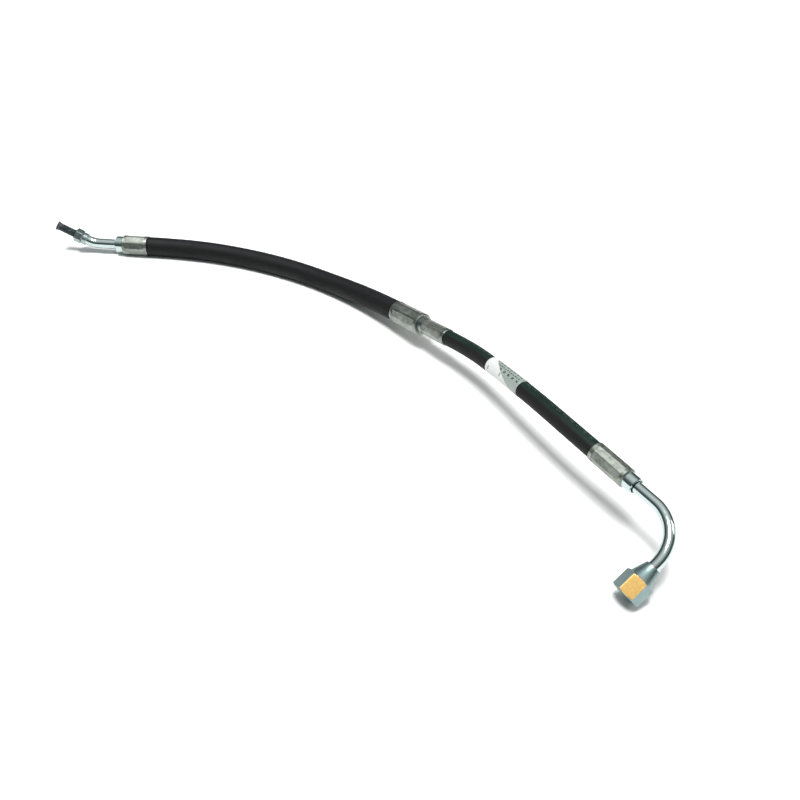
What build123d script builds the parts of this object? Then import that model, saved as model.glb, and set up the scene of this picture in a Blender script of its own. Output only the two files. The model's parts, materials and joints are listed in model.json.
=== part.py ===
from build123d import *
import os
from math import cos, radians, sin, tan

# Stepped hydraulic hose assembly: a large hose and a small hose joined by a crimped reducing
# splice, with a bent tube and threaded stud at the inlet and a swept elbow and union nut at the
# outlet. It lies on a flat surface at Z = 0, and X runs from the inlet end to the outlet end.

# ---- large hose, 19 mm bore ----
LARGE_BORE = 19.0
LARGE_LINER_OD = 23.0
LARGE_BRAID_OD = 24.6
LARGE_OD = 27.8

# ---- small hose, 12.7 mm bore ----
SMALL_BORE = 12.7
SMALL_LINER_OD = 16.0
SMALL_BRAID_OD = 17.2
SMALL_OD = 20.0

# ---- crimped ferrules ----
LARGE_FERRULE_OD = 29.4
SMALL_FERRULE_OD = 22.2
INLET_FERRULE = 39.0
SPLICE_LARGE_FERRULE = 55.0
SPLICE_GROOVE = 2.5
SPLICE_SMALL_FERRULE = 47.0
OUTLET_FERRULE = 47.4
END_RING = 5.0
CRIMP_JAWS = 8
LIP = 3.0
STOP_GAP = 2.0

# ---- inlet end: insert, bent tube, stud fitting and plug ----
INLET_SHOULDER = 11.7
INLET_TUBE_OD = 15.0
INLET_TUBE_BORE = 11.0
INLET_TUBE_RUN = 38.0
INLET_BEND = 27.5
INLET_BEND_R = 40.0
SOCKET = 5.0
COLLAR_OD = 18.0
COLLAR = 6.0
STUD_HEX = 19.0
STUD_HEX_H = 11.0
STUD_R = 6.0
STUD = 24.0
STUD_BORE_R = 4.0
PLUG_HEAD = 5.0
PLUG_TAIL = 10.0

# ---- outlet end: insert, swept elbow, cone head, seal and union nut ----
OUTLET_COLLAR_OD = 18.6
OUTLET_COLLAR = 11.7
ELBOW_OD = 12.5
ELBOW_BORE = 8.5
ELBOW_LEAD = 25.0
ELBOW_R = 43.3
ELBOW_TAIL = 3.0
LEG_ROLL = 57.0
NUT_HEX = 27.0
NUT_HEX_H = 21.5
NUT_SKIRT = 16.0
NUT_TURN = 23.2
NUT_THREAD_R = 10.2
NUT_STEP = 12.0
NUT_FACE_R = 13.2
NUT_SIDE_GAP = 0.35
NUT_THREAD = 9.7
CONE_HALF_ANGLE = 12.0

# ---- the lie of the hoses: mouths of the ferrules and the bends between them ----
INLET_MOUTH = Vector(-399.8, -20.1, LARGE_FERRULE_OD / 2)
INLET_YAW = 37.5
SPLICE_MOUTH = Vector(21.7, 97.3, 27.7)
SPLICE_YAW = -7.5
SPLICE_PITCH = 6.8
OUTLET_YAW = -13.2
OUTLET_PITCH = -2.5
OUTLET_X = 391.5
OUTLET_Y = 7.7
LARGE_LEAD_IN = 62.0
LARGE_LEAD_OUT = 47.0
SMALL_LEAD_IN = 42.0
SMALL_LEAD_OUT = 40.0
LARGE_BENDS = [(-277.4, 57.4, 14.1), (-194.4, 87.2, 13.95), (-109.4, 102.8, 13.95)]
SMALL_BENDS = [(214.6, 63.1, 51.9), (286.6, 37.6, 62.0)]

# ---- marking sleeve on the small hose ----
LABEL_START = 90.0
LABEL_LENGTH = 65.0
LABEL_THICKNESS = 0.3
FILM_SETBACK = 6.0
FILM_THICKNESS = 0.15


def heading(yaw, pitch):
    """Unit vector from its angle about Z and its rise above the horizontal, in degrees."""
    level = cos(radians(pitch))
    return Vector(level * cos(radians(yaw)), level * sin(radians(yaw)), sin(radians(pitch)))


def lengthwise(origin, direction):
    """Plane whose x axis is the fitting's own axis, so outlines are (along, radius)."""
    return Plane(origin=origin, x_dir=direction, z_dir=direction.cross(Vector(0, 0, 1)))


def across(origin, direction):
    """Plane square to the fitting's axis, with a level x axis."""
    return Plane(origin=origin, x_dir=direction.cross(Vector(0, 0, 1)), z_dir=direction)


def turned(line, outline):
    """Closed face of a turned piece, drawn on a lengthwise plane."""
    with BuildSketch(line) as face:
        with BuildLine():
            Polyline(*outline, close=True)
        make_face()
    return face.sketch


def spin(line):
    return Axis(line.origin, line.x_dir)


def corner_radii(points):
    """Largest smooth radius at each corner: 0.45 of the shorter run over tan(half the turn)."""
    radii = []
    for before, corner, after in zip(points, points[1:], points[2:]):
        half_turn = (corner - before).get_angle(after - corner) / 2
        shorter = min((corner - before).length, (after - corner).length)
        radii.append(0.45 * shorter / tan(radians(half_turn)))
    return radii


def hose_path(points, radii, tail_in, tail_out):
    """Centreline of a hose, run on straight into the ferrules at its two ends."""
    first = points[0] - (points[1] - points[0]).normalized() * tail_in
    last = points[-1] + (points[-1] - points[-2]).normalized() * tail_out
    with BuildLine() as centreline:
        FilletPolyline(first, *points[1:-1], last, radius=radii)
    return centreline.wire()


def ring_face(path, outer, bore):
    """Ring at the start of a path, square to it."""
    with BuildSketch(Plane(origin=path @ 0, z_dir=path % 0)) as ring:
        Circle(outer / 2)
        Circle(bore / 2, mode=Mode.SUBTRACT)
    return ring.sketch


def barbed_tail(start, length, bore_r, barb_r):
    """Upper edge of a barbed insert tail, as (along, radius) points from its root to its tip."""
    barbs = 6
    pitch = length / barbs
    edge = []
    for i in range(barbs):
        edge.append((start + i * pitch, barb_r - 0.6))
        edge.append((start + (i + 0.75) * pitch, barb_r))
    edge.append((start + length, barb_r - 0.9))
    edge.append((start + length, bore_r))
    return edge


# ---- axes of the three fittings ----
inlet_axis = heading(INLET_YAW, 0)
splice_axis = heading(SPLICE_YAW, SPLICE_PITCH)
outlet_axis = heading(OUTLET_YAW, OUTLET_PITCH)
side = outlet_axis.cross(Vector(0, 0, -1)).normalized()
straight_down = side.cross(outlet_axis).normalized()
leg_axis = straight_down * cos(radians(LEG_ROLL)) - side * sin(radians(LEG_ROLL))

# The nut stands on its lowest corner, at the mouth, which fixes the height of the outlet.
leg_length = ELBOW_R + ELBOW_TAIL + NUT_SKIRT + NUT_HEX_H
dip = -leg_axis.Z
rise = (1 - dip**2) ** 0.5
corner_r = NUT_HEX / 2 / cos(radians(30))
corner_drop = (corner_r - NUT_FACE_R) * tan(radians(30))
mouth_height = corner_r * cos(radians(30 - NUT_TURN)) * rise - corner_drop * dip
outlet_run = OUTLET_FERRULE + OUTLET_COLLAR + ELBOW_LEAD + ELBOW_R
outlet_height = mouth_height + leg_length * dip - outlet_axis.Z * outlet_run
outlet_mouth = Vector(OUTLET_X, OUTLET_Y, outlet_height)

splice_length = SPLICE_LARGE_FERRULE + SPLICE_GROOVE + SPLICE_SMALL_FERRULE
splice_exit = SPLICE_MOUTH + splice_axis * splice_length

# ---- centrelines of the two hoses ----
large_points = [
    INLET_MOUTH,
    INLET_MOUTH + inlet_axis * LARGE_LEAD_IN,
    *[Vector(*point) for point in LARGE_BENDS],
    SPLICE_MOUTH - splice_axis * LARGE_LEAD_OUT,
    SPLICE_MOUTH,
]
small_points = [
    splice_exit,
    splice_exit + splice_axis * SMALL_LEAD_IN,
    *[Vector(*point) for point in SMALL_BENDS],
    outlet_mouth - outlet_axis * SMALL_LEAD_OUT,
    outlet_mouth,
]
large_radii = corner_radii(large_points)
small_radii = corner_radii(small_points)
large_free = hose_path(large_points, large_radii, 0, 0)
small_free = hose_path(small_points, small_radii, 0, 0)
large_whole = hose_path(
    large_points,
    large_radii,
    INLET_FERRULE - LIP - STOP_GAP,
    SPLICE_LARGE_FERRULE - LIP - STOP_GAP,
)
small_whole = hose_path(
    small_points,
    small_radii,
    SPLICE_SMALL_FERRULE - LIP - STOP_GAP,
    OUTLET_FERRULE - LIP - STOP_GAP,
)

# ---- hose layers ----
with BuildPart() as large_hose_liner:
    sweep(ring_face(large_whole, LARGE_LINER_OD, LARGE_BORE), path=large_whole)
large_hose_liner.part.label = "large_hose_liner"

with BuildPart() as large_hose_braid:
    sweep(ring_face(large_whole, LARGE_BRAID_OD, LARGE_LINER_OD), path=large_whole)
large_hose_braid.part.label = "large_hose_braid"

with BuildPart() as large_hose_cover:
    sweep(ring_face(large_free, LARGE_OD, LARGE_BRAID_OD), path=large_free)
large_hose_cover.part.label = "large_hose_cover"

with BuildPart() as small_hose_liner:
    sweep(ring_face(small_whole, SMALL_LINER_OD, SMALL_BORE), path=small_whole)
small_hose_liner.part.label = "small_hose_liner"

with BuildPart() as small_hose_braid:
    sweep(ring_face(small_whole, SMALL_BRAID_OD, SMALL_LINER_OD), path=small_whole)
small_hose_braid.part.label = "small_hose_braid"

with BuildPart() as small_hose_cover:
    sweep(ring_face(small_free, SMALL_OD, SMALL_BRAID_OD), path=small_free)
small_hose_cover.part.label = "small_hose_cover"


# ---- marking sleeve and its clear film, wrapped round the small hose ----
def band_on_hose(start, end):
    """Two planes square to the small hose, at two lengths along it."""
    total = small_free.length
    return [
        Plane(origin=small_free @ (s / total), z_dir=small_free % (s / total))
        for s in (start, end)
    ]


label_planes = band_on_hose(LABEL_START, LABEL_START + LABEL_LENGTH)
label_outer = SMALL_OD + 2 * LABEL_THICKNESS
with BuildPart() as marking_label:
    sweep(ring_face(small_free, label_outer, SMALL_OD), path=small_free)
    split(bisect_by=label_planes[0], keep=Keep.TOP)
    split(bisect_by=label_planes[1], keep=Keep.BOTTOM)
marking_label.part.label = "marking_label"

film_planes = band_on_hose(LABEL_START + FILM_SETBACK, LABEL_START + LABEL_LENGTH)
with BuildPart() as label_film:
    sweep(ring_face(small_free, label_outer + 2 * FILM_THICKNESS, label_outer), path=small_free)
    split(bisect_by=film_planes[0], keep=Keep.TOP)
    split(bisect_by=film_planes[1], keep=Keep.BOTTOM)
label_film.part.label = "label_film"


# ---- crimped ferrules: two plain end rings, crimp flats between, and a lip over the insert ----
def crimped_ferrule(rear, direction, length, outer, bore, lip_bore):
    """Add a ferrule to the open part, from its lip end to the mouth that takes the hose."""
    jaws_start = rear + direction * END_RING
    front_start = rear + direction * (length - END_RING)
    for start in (rear, front_start):
        with BuildSketch(across(start, direction)) as ring:
            Circle(outer / 2)
            Circle(bore / 2, mode=Mode.SUBTRACT)
        extrude(ring.sketch, amount=END_RING)
    rims = edges().filter_by(GeomType.CIRCLE).group_by(SortBy.RADIUS)[-1]
    rims = rims.sort_by(Axis(rear, direction))
    chamfer(rims[0], 1.2)
    fillet(rims[-1], 0.8)
    with BuildSketch(across(jaws_start, direction)) as crimped:
        Circle(outer / 2 - 0.1)
        flats = outer / 2 - 0.75
        RegularPolygon(flats, CRIMP_JAWS, major_radius=False, mode=Mode.INTERSECT)
        Circle(bore / 2, mode=Mode.SUBTRACT)
    extrude(crimped.sketch, amount=length - 2 * END_RING)
    with BuildSketch(across(rear, direction)) as lip:
        Circle(bore / 2 + 0.5)
        Circle(lip_bore / 2, mode=Mode.SUBTRACT)
    extrude(lip.sketch, amount=LIP)


large_neck = 2 * (LARGE_BORE / 2 + 0.6)
small_neck = 2 * (SMALL_BORE / 2 + 0.6)
inlet_rear = INLET_MOUTH - inlet_axis * INLET_FERRULE
splice_large_rear = SPLICE_MOUTH + splice_axis * SPLICE_LARGE_FERRULE
splice_small_rear = splice_large_rear + splice_axis * SPLICE_GROOVE
outlet_rear = outlet_mouth + outlet_axis * OUTLET_FERRULE

large_crimp = (LARGE_FERRULE_OD, LARGE_BRAID_OD, large_neck)
small_crimp = (SMALL_FERRULE_OD, SMALL_BRAID_OD, small_neck)
with BuildPart() as inlet_ferrule:
    crimped_ferrule(inlet_rear, inlet_axis, INLET_FERRULE, *large_crimp)
inlet_ferrule.part.label = "inlet_ferrule"

with BuildPart() as splice_large_ferrule:
    crimped_ferrule(splice_large_rear, -splice_axis, SPLICE_LARGE_FERRULE, *large_crimp)
splice_large_ferrule.part.label = "splice_large_ferrule"

with BuildPart() as splice_small_ferrule:
    crimped_ferrule(splice_small_rear, splice_axis, SPLICE_SMALL_FERRULE, *small_crimp)
splice_small_ferrule.part.label = "splice_small_ferrule"

with BuildPart() as outlet_ferrule:
    crimped_ferrule(outlet_rear, -outlet_axis, OUTLET_FERRULE, *small_crimp)
outlet_ferrule.part.label = "outlet_ferrule"

# ---- inlet insert: shoulder with a tube socket, neck under the lip, barbed tail in the liner ----
inlet_line = lengthwise(inlet_rear, inlet_axis)
large_tail = INLET_FERRULE - LIP - 4.0
with BuildPart() as inlet_insert:
    revolve(
        turned(
            inlet_line,
            [
                (-INLET_SHOULDER, INLET_TUBE_OD / 2),
                (-INLET_SHOULDER, LARGE_FERRULE_OD / 2 - 3.2),
                (-INLET_SHOULDER + 1.2, LARGE_FERRULE_OD / 2 - 2.0),
                (0, LARGE_FERRULE_OD / 2 - 2.0),
                (0, large_neck / 2),
                (LIP, large_neck / 2),
                *barbed_tail(LIP, large_tail, 7.2, LARGE_BORE / 2),
                (-INLET_SHOULDER + SOCKET, 7.2),
                (-INLET_SHOULDER + SOCKET, INLET_TUBE_OD / 2),
            ],
        ),
        axis=spin(inlet_line),
    )
inlet_insert.part.label = "inlet_insert"

# ---- inlet tube: straight from the insert, then one bend that lifts the stud ----
stud_axis = Vector(0, 0, 1) * sin(radians(INLET_BEND)) - inlet_axis * cos(radians(INLET_BEND))
tube_corner = inlet_rear - inlet_axis * (INLET_SHOULDER + INLET_TUBE_RUN)
bend_tangent = INLET_BEND_R * tan(radians(INLET_BEND / 2))
collar_face = tube_corner + stud_axis * (bend_tangent + 1.0)
with BuildLine() as inlet_route:
    FilletPolyline(
        inlet_rear - inlet_axis * (INLET_SHOULDER - SOCKET),
        tube_corner,
        collar_face + stud_axis * SOCKET,
        radius=[INLET_BEND_R],
    )
inlet_path = inlet_route.wire()
with BuildPart() as inlet_tube:
    sweep(ring_face(inlet_path, INLET_TUBE_OD, INLET_TUBE_BORE), path=inlet_path)
inlet_tube.part.label = "inlet_tube"

# ---- stud fitting: collar with a tube socket, groove, spanner hexagon and threaded stud ----
stud_line = lengthwise(collar_face, stud_axis)
hex_start = COLLAR + 1.6
stud_start = hex_start + STUD_HEX_H
stud_end = stud_start + STUD
with BuildPart() as stud_fitting:
    revolve(
        turned(
            stud_line,
            [
                (0, INLET_TUBE_OD / 2),
                (0, COLLAR_OD / 2 - 0.6),
                (0.6, COLLAR_OD / 2),
                (COLLAR, COLLAR_OD / 2),
                (COLLAR, COLLAR_OD / 2 - 1.2),
                (hex_start, COLLAR_OD / 2 - 1.2),
                (hex_start + 0.2, COLLAR_OD / 2),
                (stud_start - 0.2, COLLAR_OD / 2),
                (stud_start, STUD_R - 0.9),
                (stud_start + 2.0, STUD_R - 0.9),
                (stud_start + 2.6, STUD_R),
                (stud_end - 0.8, STUD_R),
                (stud_end, STUD_R - 0.8),
                (stud_end, STUD_BORE_R),
                (SOCKET, STUD_BORE_R),
                (SOCKET, INLET_TUBE_OD / 2),
            ],
        ),
        axis=spin(stud_line),
    )
    with BuildSketch(across(collar_face + stud_axis * hex_start, stud_axis)):
        RegularPolygon(STUD_HEX / 2, 6, major_radius=False)
        Circle(STUD_BORE_R + 1.0, mode=Mode.SUBTRACT)
    extrude(amount=STUD_HEX_H)
stud_fitting.part.label = "stud_fitting"

# ---- stud seal: ring in the undercut between the hexagon and the thread ----
with BuildPart() as stud_seal:
    with BuildSketch(stud_line):
        with Locations((stud_start + 1.0, STUD_R - 0.9 + 0.95)):
            Circle(0.95)
    revolve(axis=spin(stud_line))
stud_seal.part.label = "stud_seal"

# ---- end plug: flared and dished head on the stud's end, tail in its bore ----
plug_line = lengthwise(collar_face + stud_axis * stud_end, stud_axis)
with BuildPart() as end_plug:
    revolve(
        turned(
            plug_line,
            [
                (-PLUG_TAIL, 0),
                (-PLUG_TAIL, STUD_BORE_R - 0.5),
                (-PLUG_TAIL + 1.0, STUD_BORE_R - 0.08),
                (0, STUD_BORE_R - 0.08),
                (0, STUD_R - 0.1),
                (PLUG_HEAD * 0.4, STUD_R),
                (PLUG_HEAD * 0.75, STUD_R + 0.4),
                (PLUG_HEAD, STUD_R + 1.3),
                (PLUG_HEAD, STUD_R + 0.8),
                (PLUG_HEAD - 1.2, STUD_R - 1.6),
                (PLUG_HEAD - 1.5, 0),
            ],
        ),
        axis=spin(plug_line),
    )
end_plug.part.label = "end_plug"

# ---- splice insert: a barbed tail for each hose, with a narrow collar between the ferrules ----
splice_line = lengthwise(splice_large_rear, splice_axis)
large_splice_tail = SPLICE_LARGE_FERRULE - LIP - 4.0
small_splice_tail = SPLICE_SMALL_FERRULE - LIP - 4.0
large_side = [(-x, r) for x, r in barbed_tail(LIP, large_splice_tail, 7.2, LARGE_BORE / 2)]
small_side = barbed_tail(SPLICE_GROOVE + LIP, small_splice_tail, 4.6, SMALL_BORE / 2)
with BuildPart() as splice_insert:
    revolve(
        turned(
            splice_line,
            [
                *reversed(large_side),
                (-LIP, large_neck / 2),
                (0, large_neck / 2),
                (0, SMALL_FERRULE_OD / 2 - 1.6),
                (SPLICE_GROOVE, SMALL_FERRULE_OD / 2 - 1.6),
                (SPLICE_GROOVE, small_neck / 2),
                (SPLICE_GROOVE + LIP, small_neck / 2),
                *small_side,
                (0, 4.6),
                (-6.0, 7.2),
            ],
        ),
        axis=spin(splice_line),
    )
splice_insert.part.label = "splice_insert"

# ---- outlet insert: barbed tail, neck, and a collar recessed round the elbow tube ----
outlet_line = lengthwise(outlet_rear, -outlet_axis)
outlet_tail = OUTLET_FERRULE - LIP - 4.0
recess = 3.0
with BuildPart() as outlet_insert:
    revolve(
        turned(
            outlet_line,
            [
                (-OUTLET_COLLAR, ELBOW_OD / 2 + 1.5),
                (-OUTLET_COLLAR, OUTLET_COLLAR_OD / 2 - 0.5),
                (-OUTLET_COLLAR + 0.5, OUTLET_COLLAR_OD / 2),
                (0, OUTLET_COLLAR_OD / 2),
                (0, small_neck / 2),
                (LIP, small_neck / 2),
                *barbed_tail(LIP, outlet_tail, ELBOW_BORE / 2, SMALL_BORE / 2),
                (-OUTLET_COLLAR + recess + SOCKET, ELBOW_BORE / 2),
                (-OUTLET_COLLAR + recess + SOCKET, ELBOW_OD / 2),
                (-OUTLET_COLLAR + recess, ELBOW_OD / 2),
                (-OUTLET_COLLAR + recess, ELBOW_OD / 2 + 1.5),
            ],
        ),
        axis=spin(outlet_line),
    )
outlet_insert.part.label = "outlet_insert"

# ---- elbow tube: straight out of the collar, a swept right angle, and down into the nut ----
collar_end = outlet_rear + outlet_axis * OUTLET_COLLAR
elbow_corner = collar_end + outlet_axis * (ELBOW_LEAD + ELBOW_R)
skirt_end = elbow_corner + leg_axis * (ELBOW_R + ELBOW_TAIL)
tube_in_nut = 17.0
with BuildLine() as elbow_route:
    FilletPolyline(
        collar_end - outlet_axis * (recess + SOCKET),
        elbow_corner,
        skirt_end + leg_axis * tube_in_nut,
        radius=[ELBOW_R],
    )
elbow_path = elbow_route.wire()
with BuildPart() as elbow_tube:
    sweep(ring_face(elbow_path, ELBOW_OD, ELBOW_BORE), path=elbow_path)
elbow_tube.part.label = "elbow_tube"

# ---- cone head: shoulder that holds the nut, and a sealing cone with a seal groove ----
leg_line = lengthwise(skirt_end, leg_axis)
shoulder_start = NUT_STEP + 0.3
cone_start = 18.5
cone_end = 26.5
shoulder_r = NUT_THREAD_R - 1.6
groove_start = 21.4
groove_end = 23.8
groove_depth = 1.2


def cone_r(along):
    return shoulder_r - 0.2 - (along - cone_start) * tan(radians(CONE_HALF_ANGLE))


with BuildPart() as cone_head:
    revolve(
        turned(
            leg_line,
            [
                (shoulder_start, ELBOW_OD / 2),
                (shoulder_start, shoulder_r - 0.8),
                (shoulder_start + 0.8, shoulder_r),
                (cone_start, shoulder_r),
                (cone_start, cone_r(cone_start)),
                (groove_start, cone_r(groove_start)),
                (groove_start, cone_r(groove_start) - groove_depth),
                (groove_end, cone_r(groove_start) - groove_depth),
                (groove_end, cone_r(groove_end)),
                (cone_end, cone_r(cone_end)),
                (cone_end, ELBOW_BORE / 2),
                (tube_in_nut, ELBOW_BORE / 2),
                (tube_in_nut, ELBOW_OD / 2),
            ],
        ),
        axis=spin(leg_line),
    )
cone_head.part.label = "cone_head"

# ---- cone seal: rubber ring in the cone's groove ----
seal_r = 0.9
with BuildPart() as cone_seal:
    with BuildSketch(leg_line):
        seal_centre = (groove_start + groove_end) / 2
        with Locations((seal_centre, cone_r(groove_start) - groove_depth + seal_r)):
            Circle(seal_r)
    revolve(axis=spin(leg_line))
cone_seal.part.label = "cone_seal"

# ---- union nut: chamfered hexagon with a tapered skirt closed in behind the cone head ----
nut_top = NUT_SKIRT
nut_mouth = NUT_SKIRT + NUT_HEX_H
bore_r = ELBOW_OD / 2 + NUT_SIDE_GAP
thread_start = nut_mouth - 1.0 - NUT_THREAD
with BuildPart() as union_nut:
    with BuildSketch(across(skirt_end + leg_axis * nut_top, leg_axis)):
        RegularPolygon(NUT_HEX / 2, 6, major_radius=False, rotation=-NUT_TURN)
    extrude(amount=NUT_HEX_H)
    revolve(
        turned(
            leg_line,
            [
                (nut_top, 0),
                (nut_top, NUT_FACE_R),
                (nut_top + corner_drop, corner_r),
                (nut_mouth - corner_drop, corner_r),
                (nut_mouth, NUT_FACE_R),
                (nut_mouth, 0),
            ],
        ),
        axis=spin(leg_line),
        mode=Mode.INTERSECT,
    )
    revolve(
        turned(
            leg_line,
            [
                (0, bore_r),
                (0, bore_r + 0.9),
                (0.5, bore_r + 1.3),
                (nut_top, NUT_FACE_R - 0.8),
                (nut_top + 0.5, NUT_FACE_R - 0.8),
                (nut_top + 0.5, bore_r),
            ],
        ),
        axis=spin(leg_line),
    )
    revolve(
        turned(
            leg_line,
            [
                (-1, 0),
                (-1, bore_r),
                (NUT_STEP, bore_r),
                (NUT_STEP, shoulder_r + NUT_SIDE_GAP),
                (thread_start - 1.5, shoulder_r + NUT_SIDE_GAP),
                (thread_start, NUT_THREAD_R),
                (nut_mouth - 1.0, NUT_THREAD_R),
                (nut_mouth, NUT_THREAD_R + 1.0),
                (nut_mouth + 1, NUT_THREAD_R + 1.0),
                (nut_mouth + 1, 0),
            ],
        ),
        axis=spin(leg_line),
        mode=Mode.SUBTRACT,
    )
union_nut.part.label = "union_nut"

# ---- write every piece, and print the figures that describe the assembly ----
pieces = [
    end_plug.part,
    stud_seal.part,
    stud_fitting.part,
    inlet_tube.part,
    inlet_insert.part,
    inlet_ferrule.part,
    large_hose_liner.part,
    large_hose_braid.part,
    large_hose_cover.part,
    splice_large_ferrule.part,
    splice_insert.part,
    splice_small_ferrule.part,
    small_hose_liner.part,
    small_hose_braid.part,
    small_hose_cover.part,
    marking_label.part,
    label_film.part,
    outlet_ferrule.part,
    outlet_insert.part,
    elbow_tube.part,
    cone_head.part,
    cone_seal.part,
    union_nut.part,
]
os.makedirs("parts", exist_ok=True)
for piece in pieces:
    export_step(piece, f"parts/{piece.label}.step")

print("large hose radii", [round(radius) for radius in large_radii])
print("small hose radii", [round(radius) for radius in small_radii])
for name, path in (("large", large_free), ("small", small_free)):
    print(name, "hose length between ferrules", round(path.length, 1))
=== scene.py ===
"""Looks of the stepped hydraulic hose assembly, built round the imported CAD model."""

import json
from math import cos, pi, radians, sin, tan

import bmesh
import bpy
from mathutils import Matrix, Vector


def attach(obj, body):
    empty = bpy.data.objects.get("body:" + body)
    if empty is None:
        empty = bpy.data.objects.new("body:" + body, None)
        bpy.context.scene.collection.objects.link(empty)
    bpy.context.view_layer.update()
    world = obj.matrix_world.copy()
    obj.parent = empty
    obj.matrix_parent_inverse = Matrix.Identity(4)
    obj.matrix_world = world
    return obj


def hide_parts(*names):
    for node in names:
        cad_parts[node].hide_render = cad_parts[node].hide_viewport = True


MM = 0.001

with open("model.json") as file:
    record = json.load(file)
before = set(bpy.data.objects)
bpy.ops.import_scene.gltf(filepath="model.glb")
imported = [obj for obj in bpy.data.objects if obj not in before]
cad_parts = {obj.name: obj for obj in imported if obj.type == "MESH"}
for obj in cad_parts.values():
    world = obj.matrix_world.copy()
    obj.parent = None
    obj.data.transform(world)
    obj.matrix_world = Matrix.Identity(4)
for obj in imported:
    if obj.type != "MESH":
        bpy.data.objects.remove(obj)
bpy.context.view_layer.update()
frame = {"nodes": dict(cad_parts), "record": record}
record = frame["record"]

# ---- hose sizes, in metres ----
LARGE_R = 13.9 * MM
LARGE_BRAID_R = 12.3 * MM
LARGE_LINER_R = 11.5 * MM
LARGE_BORE_R = 9.5 * MM
SMALL_R = 10.0 * MM
SMALL_BRAID_R = 8.6 * MM
SMALL_LINER_R = 8.0 * MM
SMALL_BORE_R = 6.35 * MM
LARGE_TAILS = (34.0 * MM, 50.0 * MM)
SMALL_TAILS = (42.0 * MM, 42.4 * MM)
LABEL_START = 90.0 * MM
LABEL_LENGTH = 65.0 * MM
LABEL_WALL = 0.3 * MM
FILM_SETBACK = 6.0 * MM
FILM_WALL = 0.15 * MM

# ---- routes of the two hoses, between the mouths of their ferrules ----
LARGE_ROUTE = [
    (-0.3998, -0.0201, 0.0147),
    (-0.35061, 0.01764, 0.0147),
    (-0.2774, 0.0574, 0.0141),
    (-0.1944, 0.0872, 0.01395),
    (-0.1094, 0.1028, 0.01395),
    (-0.02457, 0.10339, 0.02214),
    (0.0217, 0.0973, 0.0277),
]
SMALL_ROUTE = [
    (0.12458, 0.08376, 0.04007),
    (0.16592, 0.07831, 0.04505),
    (0.2146, 0.0631, 0.0519),
    (0.2866, 0.0376, 0.0620),
    (0.35259, 0.01683, 0.06514),
    (0.3915, 0.0077, 0.06339),
]


def named(rows, name):
    """The row that has this name, from a list in the record."""
    return next(row for row in rows if row["name"] == name)


def across(axis):
    """A level direction square to an axis, and the direction square to both."""
    aside = axis.cross(Vector((0, 0, 1))).normalized()
    return aside, aside.cross(axis)


# ---- axes of the end fittings, from the stud's mount and the nut's joint ----
STUD_MOUNT_AT = 31.5 * MM
NUT_JOINT_AT = 20.0 * MM
stud_mount = named(record["mounts"], "stud_thread")
nut_joint = named(record["behaviour"]["joints"], "nut_swivel")
STUD_AXIS = Vector(stud_mount["axis"]).normalized()
STUD_FACE = Vector(stud_mount["pos_m"]) - STUD_AXIS * STUD_MOUNT_AT
LEG_AXIS = Vector(nut_joint["axis"]).normalized()
SKIRT_END = Vector(nut_joint["pos_m"]) - LEG_AXIS * NUT_JOINT_AT

# ---- turn of the nut's hexagon to a corner, in degrees, and the way that the flat with a painted warm reflection faces ----
NUT_TURN = 23.2
CORNER_TO_WARM_REFLECTION = 90.0
leg_aside, leg_above = across(LEG_AXIS)
warm_reflection_angle = radians(NUT_TURN + CORNER_TO_WARM_REFLECTION)
WARM_REFLECTION_NORMAL = leg_aside * cos(warm_reflection_angle) + leg_above * sin(warm_reflection_angle)

# ---- camera ----
CAMERA_PLACE = (0.7011, -0.5976, 0.641)
CAMERA_TILT = 51.8
CAMERA_TURN = 44.13
camera_data = bpy.data.cameras.new("camera")
camera_data.lens = 38.25
camera_data.sensor_width = 36.0
camera = bpy.data.objects.new("camera", camera_data)
camera.location = CAMERA_PLACE
camera.rotation_euler = (radians(CAMERA_TILT), 0, radians(CAMERA_TURN))
bpy.context.collection.objects.link(camera)
bpy.context.scene.camera = camera


# ---- mesh helpers ----
def add_object(name, mesh):
    obj = bpy.data.objects.new(name, mesh)
    bpy.context.collection.objects.link(obj)
    return obj


def route_line(route):
    """Points along the smooth NURBS line of a hose's route."""
    curve = bpy.data.curves.new("route", "CURVE")
    curve.dimensions = "3D"
    curve.resolution_u = 24
    spline = curve.splines.new("NURBS")
    spline.points.add(len(route) - 1)
    for point, place in zip(spline.points, route):
        point.co = (*place, 1)
    spline.order_u = 3
    spline.use_endpoint_u = True
    holder = bpy.data.objects.new("route", curve)
    bpy.context.collection.objects.link(holder)
    bpy.context.view_layer.update()
    mesh = bpy.data.meshes.new_from_object(holder)
    line = [vertex.co.copy() for vertex in mesh.vertices]
    bpy.data.objects.remove(holder)
    bpy.data.meshes.remove(mesh)
    return line


def spans(line):
    """Distance along a line at each of its points."""
    run = [0.0]
    for before, after in zip(line, line[1:]):
        run.append(run[-1] + (after - before).length)
    return run


def point_at(line, run, distance):
    """Place on a line at a distance along it, run on straight past its ends."""
    if distance <= 0:
        return line[0] + (line[1] - line[0]).normalized() * distance
    if distance >= run[-1]:
        return line[-1] + (line[-1] - line[-2]).normalized() * (distance - run[-1])
    i = next(k for k in range(1, len(run)) if run[k] >= distance)
    share = (distance - run[i - 1]) / (run[i] - run[i - 1])
    return line[i - 1].lerp(line[i], share)


def stretch(line, start, end, step):
    """Evenly spaced points on a line from one distance along it to another."""
    run = spans(line)
    count = max(2, round((end - start) / step))
    return [point_at(line, run, start + (end - start) * i / count) for i in range(count + 1)]


def directions(path):
    """Unit direction of travel at each point of a path."""
    found = []
    for i in range(len(path)):
        before = path[max(i - 1, 0)]
        after = path[min(i + 1, len(path) - 1)]
        found.append((after - before).normalized())
    return found


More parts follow.
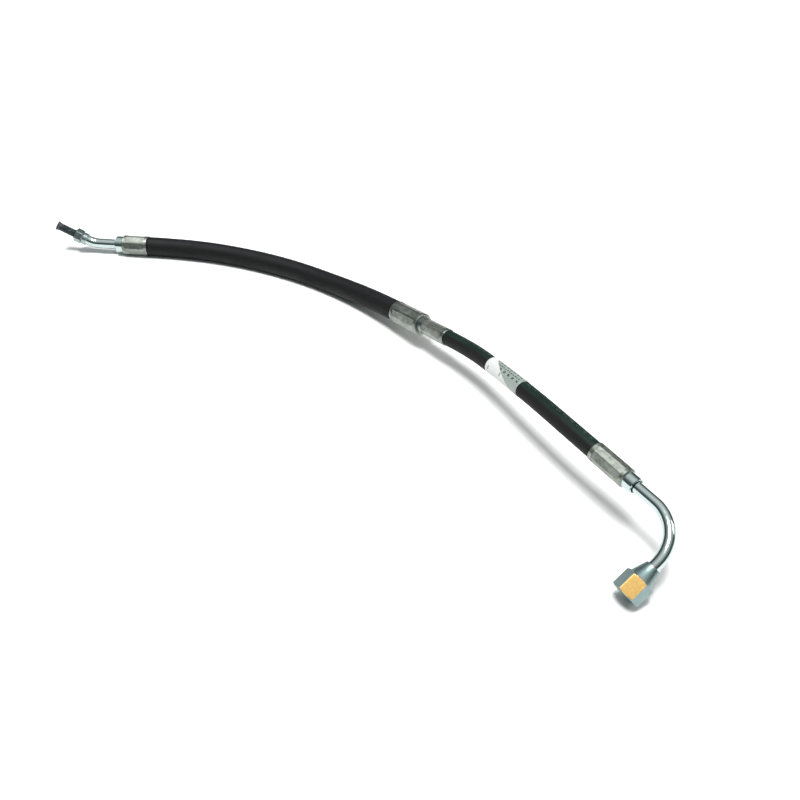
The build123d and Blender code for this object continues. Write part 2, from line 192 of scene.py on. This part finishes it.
def swept_rings(path, profile, around):
    """Rings of places square to a path. profile gives (index on path, radius) for each ring."""
    travel = directions(path)
    rings = []
    for index, radius in profile:
        aside, above = across(travel[index])
        ring = []
        for k in range(around):
            angle = 2 * pi * k / around
            ring.append(path[index] + (aside * cos(angle) + above * sin(angle)) * radius)
        rings.append(ring)
    return rings


def ring_mesh(name, rings, uvs=None):
    """Smooth closed mesh through rings of equal count; the last ring joins the first."""
    around = len(rings[0])
    bm = bmesh.new()
    verts = [[bm.verts.new(place) for place in ring] for ring in rings]
    layer = bm.loops.layers.uv.new("along_around") if uvs else None
    for i in range(len(rings)):
        j = (i + 1) % len(rings)
        for k in range(around):
            m = (k + 1) % around
            face = bm.faces.new((verts[i][k], verts[i][m], verts[j][m], verts[j][k]))
            face.smooth = True
            if uvs:
                here, ahead = k / around, (k + 1) / around
                corners = ((uvs[i], here), (uvs[i], ahead), (uvs[j], ahead), (uvs[j], here))
                for loop, corner in zip(face.loops, corners):
                    loop[layer].uv = corner
    bmesh.ops.recalc_face_normals(bm, faces=bm.faces)
    mesh = bpy.data.meshes.new(name)
    bm.to_mesh(mesh)
    bm.free()
    return mesh


def sleeve(name, path, outer, bore, edge, around=96):
    """Tube wall along a path with rounded ends; its UVs are (metres along, turn)."""
    last = len(path) - 1
    run = spans(path)
    profile = [(0, outer - edge)]
    profile += [(i, outer) for i in range(last + 1)]
    profile += [(last, outer - edge), (last, bore)]
    profile += [(i, bore) for i in range(last, -1, -1)]
    rings = swept_rings(path, profile, around)
    travel = directions(path)
    for k in range(around):
        rings[1][k] = rings[1][k] + travel[0] * edge
        rings[last + 1][k] = rings[last + 1][k] - travel[-1] * edge
    uvs = [run[index] for index, radius in profile]
    return add_object(name, ring_mesh(name, rings, uvs))


def outline_rings(origin, axis, outline, around, radius_at):
    """Rings of a turned piece from (along, radius) points; radius_at trims a radius by angle."""
    aside, above = across(axis)
    rings = []
    for along, radius in outline:
        ring = []
        for k in range(around):
            angle = 2 * pi * k / around
            outward = aside * cos(angle) + above * sin(angle)
            ring.append(origin + axis * along + outward * radius_at(along, angle, radius))
        rings.append(ring)
    return rings


def sharpen(obj, degrees):
    """Split the shading along edges sharper than an angle."""
    obj.data.set_sharp_from_angle(angle=radians(degrees))


# ---- the two lines that the hose layers follow ----
large_line = route_line(LARGE_ROUTE)
small_line = route_line(SMALL_ROUTE)
large_run = spans(large_line)[-1]
small_run = spans(small_line)[-1]


# ---- node material helpers ----
def set_stops(color_ramp, stops):
    """Give a ramp its (place, colour) stops, listed from low to high."""
    elements = color_ramp.elements
    while len(elements) < len(stops):
        elements.new(0.5)
    for element, (place, colour) in zip(elements, stops):
        element.position = place
        element.color = (*colour, 1)


class Look:
    """A procedural material: each method adds one node and returns its output socket."""

    def __init__(self, name, roughness=0.5, metallic=0.0):
        self.material = bpy.data.materials.new(name)
        self.material.use_nodes = True
        self.nodes = self.material.node_tree.nodes
        self.links = self.material.node_tree.links
        self.shader = self.nodes["Principled BSDF"]
        self.shader.inputs["Roughness"].default_value = roughness
        self.shader.inputs["Metallic"].default_value = metallic
        self.coords = self.nodes.new("ShaderNodeTexCoord")

    def fill(self, socket, value):
        if hasattr(value, "is_output"):
            self.links.new(value, socket)
        else:
            socket.default_value = value

    def set(self, name, value):
        self.fill(self.shader.inputs[name], value)

    def noise(self, scale, detail=3.0, stretch=(1, 1, 1), roughness=0.55):
        mapping = self.nodes.new("ShaderNodeMapping")
        mapping.inputs["Scale"].default_value = stretch
        self.links.new(self.coords.outputs["Object"], mapping.inputs["Vector"])
        node = self.nodes.new("ShaderNodeTexNoise")
        node.inputs["Scale"].default_value = scale
        node.inputs["Detail"].default_value = detail
        node.inputs["Roughness"].default_value = roughness
        self.links.new(mapping.outputs["Vector"], node.inputs["Vector"])
        return node.outputs["Fac"]

    def along(self):
        """(metres along the hose, turn round it) from the mesh's own UVs."""
        node = self.nodes.new("ShaderNodeSeparateXYZ")
        self.links.new(self.coords.outputs["UV"], node.inputs["Vector"])
        return node.outputs["X"], node.outputs["Y"]

    def math(self, kind, a, b=0.0):
        node = self.nodes.new("ShaderNodeMath")
        node.operation = kind
        for socket, value in zip(node.inputs, (a, b)):
            self.fill(socket, value)
        return node.outputs["Value"]

    def ramp(self, value, stops):
        node = self.nodes.new("ShaderNodeValToRGB")
        set_stops(node.color_ramp, stops)
        self.fill(node.inputs["Fac"], value)
        return node.outputs["Color"]

    def span(self, value, low, high, to_low, to_high):
        node = self.nodes.new("ShaderNodeMapRange")
        for name, number in (
            ("From Min", low),
            ("From Max", high),
            ("To Min", to_low),
            ("To Max", to_high),
        ):
            node.inputs[name].default_value = number
        self.fill(node.inputs["Value"], value)
        return node.outputs["Result"]

    def mix(self, share, a, b):
        node = self.nodes.new("ShaderNodeMix")
        node.data_type = "RGBA"
        self.fill(node.inputs["Factor"], share)
        for name, value in (("A", a), ("B", b)):
            socket = next(s for s in node.inputs if s.name == name and s.type == "RGBA")
            self.fill(socket, value if hasattr(value, "is_output") else (*value, 1))
        return next(s for s in node.outputs if s.type == "RGBA")

    def bump(self, height, distance, strength=1.0, before=None):
        node = self.nodes.new("ShaderNodeBump")
        node.inputs["Distance"].default_value = distance
        node.inputs["Strength"].default_value = strength
        self.fill(node.inputs["Height"], height)
        if before:
            self.links.new(before, node.inputs["Normal"])
        self.links.new(node.outputs["Normal"], self.shader.inputs["Normal"])
        return node.outputs["Normal"]


def near(look, value, middle, half, soft):
    """1 within half of the middle value, falling to 0 over soft."""
    away = look.math("ABSOLUTE", look.math("SUBTRACT", value, middle))
    return look.span(away, half, half + soft, 1.0, 0.0)


def crossing_waves(look, along, turn, radius, waves):
    """Two sine waves that cross on a hose of this radius; waves is in radians a metre."""
    round_it = look.math("MULTIPLY", turn, 2 * pi * radius)
    made = []
    for kind in ("ADD", "SUBTRACT"):
        phase = look.math("MULTIPLY", look.math(kind, along, round_it), waves)
        made.append(look.math("SINE", phase))
    return made


# ---- materials ----
# Waves are in radians a metre, dashes in repeats a metre, and turns run from 0 to 1 round a hose.
CLOTH_WAVES = 5200.0
BRAID_WAVES = 2400.0
DASHES = 95.0
DASH_GROUPS = 11.0
# Turn and half width of each cover's upper side, which a painted sheen lightens.
SHEEN_TURN = 0.38
SHEEN_HALF_TURN = 0.215


def cover_rubber(name, dark, light, off_sheen, radius, layline_turn, layline_tint, layline_share):
    """Cloth-marked hose cover with a faint line of dashes.

    dark and light mottle its upper side, a painted sheen lighter than the plain colour that covers
    the rest.
    """
    look = Look(name, roughness=0.62)
    along, turn = look.along()
    scuffs = look.noise(60, detail=6)
    streaks = look.noise(14, detail=3)
    base = look.mix(look.span(scuffs, 0.35, 0.75, 0.0, 1.0), dark, light)
    # painted sheen: the upper side takes the lighter mottled colours, and the rest takes the plain
    # colour
    sheen_side = near(look, turn, SHEEN_TURN, SHEEN_HALF_TURN, 0.02)
    base = look.mix(sheen_side, off_sheen, base)
    dashes = look.math("FRACT", look.math("MULTIPLY", along, DASHES))
    groups = look.math("FRACT", look.math("MULTIPLY", along, DASH_GROUPS))
    on_line = near(look, turn, layline_turn, 0.018, 0.004)
    printed = look.math("MULTIPLY", on_line, look.math("GREATER_THAN", dashes, 0.45))
    printed = look.math("MULTIPLY", printed, look.math("GREATER_THAN", groups, 0.22))
    worn = look.span(look.noise(420, detail=2), 0.42, 0.6, 0.0, 1.0)
    printed = look.math("MULTIPLY", look.math("MULTIPLY", printed, worn), layline_share)
    look.set("Base Color", look.mix(printed, base, layline_tint))
    thread_a, thread_b = crossing_waves(look, along, turn, radius, CLOTH_WAVES)
    weave = look.math("MULTIPLY", look.math("ADD", thread_a, thread_b), 0.5)
    first = look.bump(weave, 0.00005, 0.5)
    look.bump(look.math("ADD", scuffs, streaks), 0.0004, 0.35, before=first)
    look.set("Roughness", look.span(streaks, 0.3, 0.7, 0.52, 0.72))
    look.shader.inputs["Specular IOR Level"].default_value = 0.2
    return look.material


def bare_rubber(name):
    look = Look(name, roughness=0.7)
    grain = look.noise(900, detail=3)
    look.set("Base Color", look.mix(grain, (0.012, 0.012, 0.012), (0.03, 0.03, 0.028)))
    look.bump(grain, 0.00004, 0.6)
    return look.material


def braid_wire(name, radius):
    look = Look(name, roughness=0.32, metallic=1.0)
    along, turn = look.along()
    one, two = crossing_waves(look, along, turn, radius, BRAID_WAVES)
    woven = look.math("MAXIMUM", one, two)
    # painted shade: the brass darkens between the wire crests
    brass_and_gap_shade = [(0.2, (0.12, 0.1, 0.06)), (0.9, (0.72, 0.64, 0.44))]
    look.set("Base Color", look.ramp(look.span(woven, -1, 1, 0, 1), brass_and_gap_shade))
    look.bump(woven, 0.0002, 0.8)
    return look.material


def zinc(name):
    """Crimped zinc plate: mottled olive-grey, with pits and fine scratches that run along X."""
    look = Look(name, roughness=0.36, metallic=1.0)
    mottle = look.noise(170, detail=6, roughness=0.7)
    broad = look.noise(38, detail=2)
    scratch = look.noise(900, detail=2, stretch=(0.12, 1, 1))
    mixed = look.math("ADD", look.math("MULTIPLY", mottle, 0.6), look.math("MULTIPLY", broad, 0.4))
    greys = [
        (0.32, (0.13, 0.15, 0.135)),
        (0.5, (0.27, 0.295, 0.265)),
        (0.7, (0.46, 0.475, 0.42)),
    ]
    look.set("Base Color", look.ramp(mixed, greys))
    look.set("Roughness", look.span(scratch, 0.3, 0.7, 0.26, 0.48))
    first = look.bump(scratch, 0.00006, 0.5)
    look.bump(mottle, 0.00022, 0.6, before=first)
    return look.material


def bright_tube(name):
    """Bright plated tube: cool mirror with light waviness from bending and faint haze."""
    look = Look(name, roughness=0.09, metallic=1.0)
    haze = look.noise(240, detail=5)
    broad = look.noise(26, detail=2)
    look.set("Base Color", look.mix(broad, (0.42, 0.53, 0.53), (0.62, 0.69, 0.67)))
    look.set("Roughness", look.span(haze, 0.35, 0.75, 0.05, 0.17))
    look.bump(broad, 0.0006, 0.16)
    return look.material


def plated(name, low, high):
    """Machined plated steel: a fine grain and a tint that drifts between two colours."""
    look = Look(name, roughness=0.3, metallic=1.0)
    tint = look.noise(75, detail=4)
    grain = look.noise(1500, detail=2)
    look.set("Base Color", look.mix(tint, low, high))
    look.set("Roughness", look.span(grain, 0.3, 0.7, 0.2, 0.42))
    look.bump(grain, 0.00003, 0.5)
    return look.material


def nut_plate(name):
    """Passivated nut: cool plate, with a painted gold reflection, finely mottled, on one flat."""
    look = Look(name, roughness=0.3, metallic=1.0)
    grain = look.noise(900, detail=4)
    broad = look.noise(120, detail=3)
    steel = look.mix(broad, (0.17, 0.25, 0.25), (0.30, 0.38, 0.38))
    # painted reflection: a mottled warm gold on the one flat that faces the normal set above
    painted_reflection = look.mix(grain, (0.42, 0.25, 0.07), (0.80, 0.54, 0.20))
    facing = look.nodes.new("ShaderNodeVectorMath")
    facing.operation = "DOT_PRODUCT"
    facing.inputs[1].default_value = WARM_REFLECTION_NORMAL
    look.links.new(look.coords.outputs["Normal"], facing.inputs[0])
    share = look.span(facing.outputs["Value"], 0.955, 0.975, 0.0, 1.0)
    look.set("Base Color", look.mix(share, steel, painted_reflection))
    look.set("Roughness", look.span(grain, 0.3, 0.7, 0.28, 0.5))
    look.bump(grain, 0.00006, 0.6)
    return look.material


def dark_phosphate(name):
    """Dark slate coating of the stud: fine grain with brighter worn spots."""
    look = Look(name, roughness=0.5, metallic=0.75)
    grain = look.noise(1100, detail=3)
    wear = look.span(look.noise(320, detail=5), 0.55, 0.72, 0.0, 0.6)
    base = look.mix(grain, (0.035, 0.048, 0.056), (0.085, 0.105, 0.115))
    look.set("Base Color", look.mix(wear, base, (0.3, 0.34, 0.35)))
    look.bump(grain, 0.00005, 0.7)
    return look.material


def moulded_plastic(name):
    look = Look(name, roughness=0.42)
    speckle = look.noise(700, detail=4)
    look.set("Base Color", look.mix(speckle, (0.03, 0.04, 0.047), (0.062, 0.076, 0.085)))
    look.set("Roughness", look.span(speckle, 0.3, 0.7, 0.36, 0.55))
    look.bump(speckle, 0.00004, 0.5)
    return look.material


def label_vinyl(name):
    """White vinyl sleeve with two short generic ticks and a soft grain."""
    look = Look(name, roughness=0.42)
    along, turn = look.along()
    paper = look.noise(520, detail=4)
    base = look.mix(paper, (0.60, 0.62, 0.61), (0.74, 0.75, 0.74))
    marks = 0.0
    for middle, turned in ((6.0 * MM, 0.05), (30.0 * MM, 0.08)):
        width = near(look, along, middle, 0.6 * MM, 0.3 * MM)
        height = near(look, turn, turned, 0.035, 0.004)
        marks = look.math("MAXIMUM", marks, look.math("MULTIPLY", width, height))
    look.set("Base Color", look.mix(look.math("MULTIPLY", marks, 0.85), base, (0.03, 0.03, 0.035)))
    look.bump(paper, 0.00004, 0.5)
    return look.material


# Each row of the film's print: turn at its middle, half its width in turns, blocks a metre,
# share of each that is gap, and shift along in blocks.
FILM_ROWS = (
    (0.300, 0.026, 150.0, 0.40, 0.0),
    (0.225, 0.014, 260.0, 0.38, 0.3),
    (0.165, 0.022, 120.0, 0.55, 0.6),
)
PRINT_FROM = 12.0 * MM
PRINT_TO = 62.0 * MM


def printed_film(name):
    """Laminated film with three rows of generic blocks and bars; its grey-green colour is painted
    shade on the label's upper side.
    """
    look = Look(name, roughness=0.22)
    along, turn = look.along()
    cloud = look.noise(260, detail=4)
    # painted shade: the grey-green base darkens the label where the film covers its upper side
    base = look.mix(cloud, (0.24, 0.29, 0.26), (0.36, 0.41, 0.38))
    ink = 0.0
    for middle, half, blocks, gap, shift in FILM_ROWS:
        phase = look.math("FRACT", look.math("ADD", look.math("MULTIPLY", along, blocks), shift))
        band = near(look, turn, middle, half, 0.003)
        row = look.math("MULTIPLY", band, look.math("GREATER_THAN", phase, gap))
        ink = look.math("MAXIMUM", ink, row)
    broken = look.span(look.noise(1300, detail=1), 0.40, 0.47, 0.0, 1.0)
    begun = look.math("GREATER_THAN", along, PRINT_FROM)
    inside = look.math("MULTIPLY", begun, look.math("LESS_THAN", along, PRINT_TO))
    ink = look.math("MULTIPLY", look.math("MULTIPLY", ink, broken), inside)
    look.set("Base Color", look.mix(ink, base, (0.02, 0.025, 0.025)))
    look.bump(cloud, 0.00006, 0.5)
    look.shader.inputs["Coat Weight"].default_value = 0.4
    look.shader.inputs["Coat Roughness"].default_value = 0.12
    return look.material


# The second and third colours of each cover are the painted sheen on its upper side; the fourth is
# the plain colour of the rest.
large_rubber = cover_rubber(
    "large_cover_rubber",
    (0.0055, 0.006, 0.007),
    (0.011, 0.0115, 0.013),
    (0.006, 0.006, 0.0065),
    LARGE_R,
    0.31,
    (0.03, 0.033, 0.033),
    0.3,
)
small_rubber = cover_rubber(
    "small_cover_rubber",
    (0.0045, 0.013, 0.0095),
    (0.009, 0.024, 0.018),
    (0.0085, 0.0085, 0.0085),
    SMALL_R,
    0.27,
    (0.05, 0.11, 0.085),
    0.6,
)
seal_black = bare_rubber("seal_rubber")
liner_black = bare_rubber("liner_rubber")
large_wire = braid_wire("large_wire_braid", LARGE_BRAID_R)
small_wire = braid_wire("small_wire_braid", SMALL_BRAID_R)
ferrule_zinc = zinc("ferrule_zinc")
chrome = bright_tube("bright_plated_tube")
fitting_steel = plated("plated_steel", (0.24, 0.30, 0.31), (0.44, 0.51, 0.50))
nut_steel = nut_plate("nut_steel")
stud_coat = dark_phosphate("stud_phosphate")
plug_black = moulded_plastic("plug_plastic")
vinyl = label_vinyl("label_vinyl")
film = printed_film("clear_film")


def place(obj, material, body, slot, *nodes):
    """Give a piece its material and body, and hide the CAD nodes that it stands for; slot is not
    used.
    """
    obj.data.materials.append(material)
    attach(obj, body)
    if nodes:
        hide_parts(*nodes)
    return obj


# ---- hose layers, on the routes' smooth lines ----
STEP = 3.0 * MM
EDGE = 0.6 * MM
THIN_EDGE = 0.1 * MM


def hose_layers(name, line, run, tails, radii, materials, slots):
    """Cover between the ferrules, with braid and liner run on into them, and the cover's path."""
    cover_r, braid_r, liner_r, bore_r = radii
    free = stretch(line, 0, run, STEP)
    whole = stretch(line, -tails[0], run + tails[1], STEP)
    layers = (
        ("cover", free, cover_r, braid_r, EDGE),
        ("braid", whole, braid_r, liner_r, THIN_EDGE),
        ("liner", whole, liner_r, bore_r, THIN_EDGE),
    )
    made = []
    for (layer, path, outer, bore, edge), material, slot in zip(layers, materials, slots):
        piece = sleeve(f"{name}_{layer}_mesh", path, outer, bore, edge)
        made.append(place(piece, material, "hose", slot, f"{name}_{layer}"))
    return made, free


large_pieces, large_free = hose_layers(
    "large_hose",
    large_line,
    large_run,
    LARGE_TAILS,
    (LARGE_R, LARGE_BRAID_R, LARGE_LINER_R, LARGE_BORE_R),
    (large_rubber, large_wire, liner_black),
    ("large_cover_rubber", "wire_braid", "liner_rubber"),
)
small_pieces, small_free = hose_layers(
    "small_hose",
    small_line,
    small_run,
    SMALL_TAILS,
    (SMALL_R, SMALL_BRAID_R, SMALL_LINER_R, SMALL_BORE_R),
    (small_rubber, small_wire, liner_black),
    ("small_cover_rubber", "wire_braid", "liner_rubber"),
)

# ---- marking sleeve and film, wrapped on the small hose ----
LABEL_STEP = 1.5 * MM
FILM_SLANT = 46.0 * MM
FILM_HIGH_TURN = 0.383


def slanted_sleeve(name, outer, bore, around=96, steps=44):
    """Thin sleeve on the label whose starting edge runs slantwise round the hose."""
    run = spans(small_line)
    end = LABEL_START + LABEL_LENGTH
    bm = bmesh.new()
    layer = bm.loops.layers.uv.new("along_around")
    shares = [i / steps for i in range(steps + 1)]
    walls = [(outer, share) for share in shares] + [(bore, share) for share in reversed(shares)]
    grid = []
    for radius, share in walls:
        ring = []
        for k in range(around):
            angle = 2 * pi * k / around
            slant = 0.5 - 0.5 * cos(angle - 2 * pi * FILM_HIGH_TURN)
            start = LABEL_START + FILM_SETBACK + FILM_SLANT * slant
            distance = start + (end - start) * share
            here = point_at(small_line, run, distance)
            ahead = (point_at(small_line, run, distance + MM) - here).normalized()
            aside, above = across(ahead)
            vert = bm.verts.new(here + (aside * cos(angle) + above * sin(angle)) * radius)
            ring.append((vert, distance - LABEL_START, k / around))
        grid.append(ring)
    for i, ring in enumerate(grid):
        after = grid[(i + 1) % len(grid)]
        for k in range(around):
            m = (k + 1) % around
            corners = (ring[k], ring[m], after[m], after[k])
            face = bm.faces.new([vert for vert, along, turn in corners])
            face.smooth = True
            for loop, (vert, along, turn) in zip(face.loops, corners):
                past_seam = m == 0 and turn == 0
                loop[layer].uv = (along, 1.0 if past_seam else turn)
    bmesh.ops.recalc_face_normals(bm, faces=bm.faces)
    mesh = bpy.data.meshes.new(name)
    bm.to_mesh(mesh)
    bm.free()
    return add_object(name, mesh)


label_outer = SMALL_R + LABEL_WALL
label_path = stretch(small_line, LABEL_START, LABEL_START + LABEL_LENGTH, LABEL_STEP)
label = sleeve("marking_label_mesh", label_path, label_outer, SMALL_R, THIN_EDGE)
place(label, vinyl, "hose", "label_vinyl", "marking_label")
film_piece = slanted_sleeve("label_film_mesh", label_outer + FILM_WALL, label_outer)
place(film_piece, film, "hose", "clear_film", "label_film")

# ---- stud fitting: collar, groove and spanner hexagon, with a helical thread on the stud ----
STUD_BORE_R = 4.0 * MM
STUD_CREST_R = 6.0 * MM
STUD_PITCH = 1.5 * MM
STUD_HEX_HALF = 9.5 * MM
STUD_HEX_CORNER_R = 10.75 * MM
STUD_HEX_FACE_R = 9.2 * MM
STUD_HEX_FROM = 8.2 * MM
STUD_HEX_TO = 18.0 * MM
STUD_START = 18.6 * MM
STUD_END = 42.6 * MM
STUD_THREAD_DEPTH = 0.75 * MM
STUD_THREAD_STEPS = 150
STUD_SIDES = 96
STUD_SHARP = 40.0
UNDERCUT_R = STUD_CREST_R - 0.9 * MM
UNDERCUT_LENGTH = 2.0 * MM
TUBE_R = 7.5 * MM
TUBE_SOCKET = 5.0 * MM
COLLAR_R = 9.0 * MM
COLLAR_END = 6.0 * MM
COLLAR_ROUND = 0.6 * MM
COLLAR_BREAK = 0.2 * MM
GROOVE_R = COLLAR_R - 1.2 * MM
GROOVE_END = 7.6 * MM


def hexagon_radius(angle, half, turn=0.0):
    """Distance from the middle of a hexagon to its side, half the width across flats away."""
    return half / cos((angle - turn) % (pi / 3) - pi / 6)


FLANK_SLOPE = 2.6
CREST_LAND = 0.15


def thread_depth(along, angle, pitch, depth):
    """How far a helical thread falls below its flat crests at a place on it."""
    phase = (along / pitch + angle / (2 * pi)) % 1.0
    return depth * min(1.0, max(0.0, FLANK_SLOPE * abs(phase - 0.5) - CREST_LAND))


def stud_radius(along, angle, radius):
    if radius == STUD_HEX_HALF:
        return min(hexagon_radius(angle, STUD_HEX_HALF), STUD_HEX_CORNER_R)
    if radius == STUD_CREST_R:
        return radius - thread_depth(along, angle, STUD_PITCH, STUD_THREAD_DEPTH)
    return radius


def even_stretch(start, end, steps, radius):
    """Outline points of one radius, evenly spaced from one distance along to another."""
    return [(start + (end - start) * i / steps, radius) for i in range(steps + 1)]


stud_outline = [
    (0, TUBE_R),
    (0, COLLAR_R - COLLAR_ROUND),
    (COLLAR_ROUND, COLLAR_R),
    (COLLAR_END - COLLAR_BREAK, COLLAR_R),
    (COLLAR_END, COLLAR_R - COLLAR_BREAK),
    (COLLAR_END, GROOVE_R),
    (GROOVE_END, GROOVE_R),
    (GROOVE_END, STUD_HEX_FACE_R),
    (STUD_HEX_FROM, STUD_HEX_HALF),
    (STUD_HEX_TO, STUD_HEX_HALF),
    (STUD_START, STUD_HEX_FACE_R),
    (STUD_START, UNDERCUT_R),
    (STUD_START + UNDERCUT_LENGTH, UNDERCUT_R),
]
thread_from = STUD_START + UNDERCUT_LENGTH + 0.4 * MM
thread_to = STUD_END - 0.9 * MM
stud_outline += even_stretch(thread_from, thread_to, STUD_THREAD_STEPS, STUD_CREST_R)
stud_outline += [
    (STUD_END, STUD_CREST_R - 0.8 * MM),
    (STUD_END, STUD_BORE_R),
    (TUBE_SOCKET, STUD_BORE_R),
    (TUBE_SOCKET, TUBE_R),
]
stud_rings = outline_rings(STUD_FACE, STUD_AXIS, stud_outline, STUD_SIDES, stud_radius)
stud = add_object("stud_fitting_mesh", ring_mesh("stud_fitting_mesh", stud_rings))
place(stud, fitting_steel, "hose", "plated_steel", "stud_fitting")
stud.data.materials.append(stud_coat)
for face in stud.data.polygons:
    middle = (Vector(face.center) - STUD_FACE).dot(STUD_AXIS)
    if middle > STUD_START + 0.01 * MM:
        face.material_index = 1
sharpen(stud, STUD_SHARP)

# ---- union nut: chamfered hexagon, tapered skirt and a helical thread in its mouth ----
NUT_HALF = 13.5 * MM
NUT_FACE_R = 13.2 * MM
NUT_TOP = 16.0 * MM
NUT_MOUTH = 37.5 * MM
NUT_BORE_R = 6.6 * MM
NUT_SHOULDER_R = 8.95 * MM
NUT_SHOULDER_AT = 12.0 * MM
NUT_THREAD_R = 10.2 * MM
NUT_THREAD_DEPTH = 0.6 * MM
NUT_THREAD_LENGTH = 10.7 * MM
NUT_THREAD_STEPS = 70
NUT_HEX_STEPS = 44
NUT_SIDES = 144
NUT_SHARP = 28.0
NUT_PITCH = 1.5 * MM
CHAMFER = tan(radians(30))


def nut_radius(along, angle, radius):
    if radius == NUT_HALF:
        from_end = min(along - NUT_TOP, NUT_MOUTH - along)
        cone = NUT_FACE_R + from_end / CHAMFER
        return min(hexagon_radius(angle, NUT_HALF, radians(NUT_TURN)), cone)
    if radius == NUT_THREAD_R:
        return radius + thread_depth(along, angle, NUT_PITCH, NUT_THREAD_DEPTH)
    return radius


nut_outline = [
    (0, NUT_BORE_R),
    (0, NUT_BORE_R + 0.9 * MM),
    (0.25 * MM, NUT_BORE_R + 1.2 * MM),
    (0.8 * MM, NUT_BORE_R + 1.35 * MM),
    (NUT_TOP - 0.3 * MM, NUT_FACE_R - 0.85 * MM),
    (NUT_TOP, NUT_FACE_R - 0.6 * MM),
]
thread_in = NUT_MOUTH - NUT_THREAD_LENGTH
nut_outline += even_stretch(NUT_TOP, NUT_MOUTH, NUT_HEX_STEPS, NUT_HALF)
nut_outline += [
    (NUT_MOUTH, NUT_THREAD_R + 1.0 * MM),
    (NUT_MOUTH - 0.9 * MM, NUT_THREAD_R + 0.1 * MM),
]
nut_outline += even_stretch(NUT_MOUTH - 1.0 * MM, thread_in, NUT_THREAD_STEPS, NUT_THREAD_R)
nut_outline += [
    (thread_in - 1.5 * MM, NUT_SHOULDER_R),
    (NUT_SHOULDER_AT, NUT_SHOULDER_R),
    (NUT_SHOULDER_AT, NUT_BORE_R),
]
nut_rings = outline_rings(SKIRT_END, LEG_AXIS, nut_outline, NUT_SIDES, nut_radius)
nut = add_object("union_nut_mesh", ring_mesh("union_nut_mesh", nut_rings))
place(nut, nut_steel, "nut", "nut_steel", "union_nut")
sharpen(nut, NUT_SHARP)

# ---- metal fittings that keep their CAD shape ----
for node, material in (
    ("inlet_ferrule", ferrule_zinc),
    ("splice_large_ferrule", ferrule_zinc),
    ("splice_small_ferrule", ferrule_zinc),
    ("outlet_ferrule", ferrule_zinc),
    ("inlet_insert", chrome),
    ("splice_insert", fitting_steel),
    ("outlet_insert", chrome),
    ("inlet_tube", chrome),
    ("elbow_tube", chrome),
    ("cone_head", fitting_steel),
    ("stud_seal", seal_black),
    ("cone_seal", seal_black),
    ("end_plug", plug_black),
):
    mesh = frame["nodes"][node].data
    mesh.materials.clear()
    mesh.materials.append(material)

# ---- floor ----
FLOOR_HALF = 6.0


def floor_material():
    look = Look("floor_paint", roughness=0.9)
    tone = look.noise(3, detail=2)
    look.set("Base Color", look.mix(tone, (0.93, 0.93, 0.93), (0.95, 0.95, 0.95)))
    return look.material


bm = bmesh.new()
for x, y in ((-1, -1), (1, -1), (1, 1), (-1, 1)):
    bm.verts.new((x * FLOOR_HALF, y * FLOOR_HALF, 0))
bm.faces.new(bm.verts)
floor_mesh = bpy.data.meshes.new("floor")
bm.to_mesh(floor_mesh)
bm.free()
floor = add_object("floor", floor_mesh)
floor.data.materials.append(floor_material())


# ---- studio light ----
def add_lamp(name, kind, direction):
    """A lamp turned to shine along a direction. Returns its object."""
    lamp = bpy.data.objects.new(name, bpy.data.lights.new(name, kind))
    lamp.rotation_euler = Vector(direction).to_track_quat("-Z", "Y").to_euler()
    bpy.context.collection.objects.link(lamp)
    return lamp


key = add_lamp("key", "SUN", (0.0, 0.34, -2.2))
key.data.energy = 3.3
key.data.angle = radians(19)

rim = add_lamp("rim", "AREA", (-1.2, -1.2, -1.1))
rim.location = (1.5, 1.2, 1.1)
rim.data.shape = "RECTANGLE"
rim.data.size = 0.5
rim.data.size_y = 0.9
rim.data.energy = 6
rim.data.color = (1.0, 0.97, 0.92)

# ---- world: plain white to the camera, and a sky for light and reflections ----
# The sky runs from dark at the horizon to white straight overhead, so that metal shows its edges.
SKY_TONES = (
    (0.1, (0.06, 0.075, 0.075)),
    (0.55, (0.12, 0.15, 0.15)),
    (1.0, (1.0, 1.0, 1.0)),
)


def studio_world():
    world = bpy.data.worlds.new("studio")
    world.use_nodes = True
    nodes = world.node_tree.nodes
    links = world.node_tree.links
    direction = nodes.new("ShaderNodeTexCoord")
    parts = nodes.new("ShaderNodeSeparateXYZ")
    links.new(direction.outputs["Generated"], parts.inputs["Vector"])
    sky = nodes.new("ShaderNodeValToRGB")
    set_stops(sky.color_ramp, SKY_TONES)
    links.new(parts.outputs["Z"], sky.inputs["Fac"])
    rays = nodes.new("ShaderNodeLightPath")
    choice = nodes.new("ShaderNodeMix")
    choice.data_type = "RGBA"
    links.new(rays.outputs["Is Camera Ray"], choice.inputs["Factor"])
    unseen, seen = [socket for socket in choice.inputs if socket.type == "RGBA"]
    links.new(sky.outputs["Color"], unseen)
    seen.default_value = (1, 1, 1, 1)
    result = next(socket for socket in choice.outputs if socket.type == "RGBA")
    links.new(result, nodes["Background"].inputs["Color"])
    nodes["Background"].inputs["Strength"].default_value = 1.0
    return world


bpy.context.scene.world = studio_world()
bpy.context.scene.view_settings.view_transform = "Standard"
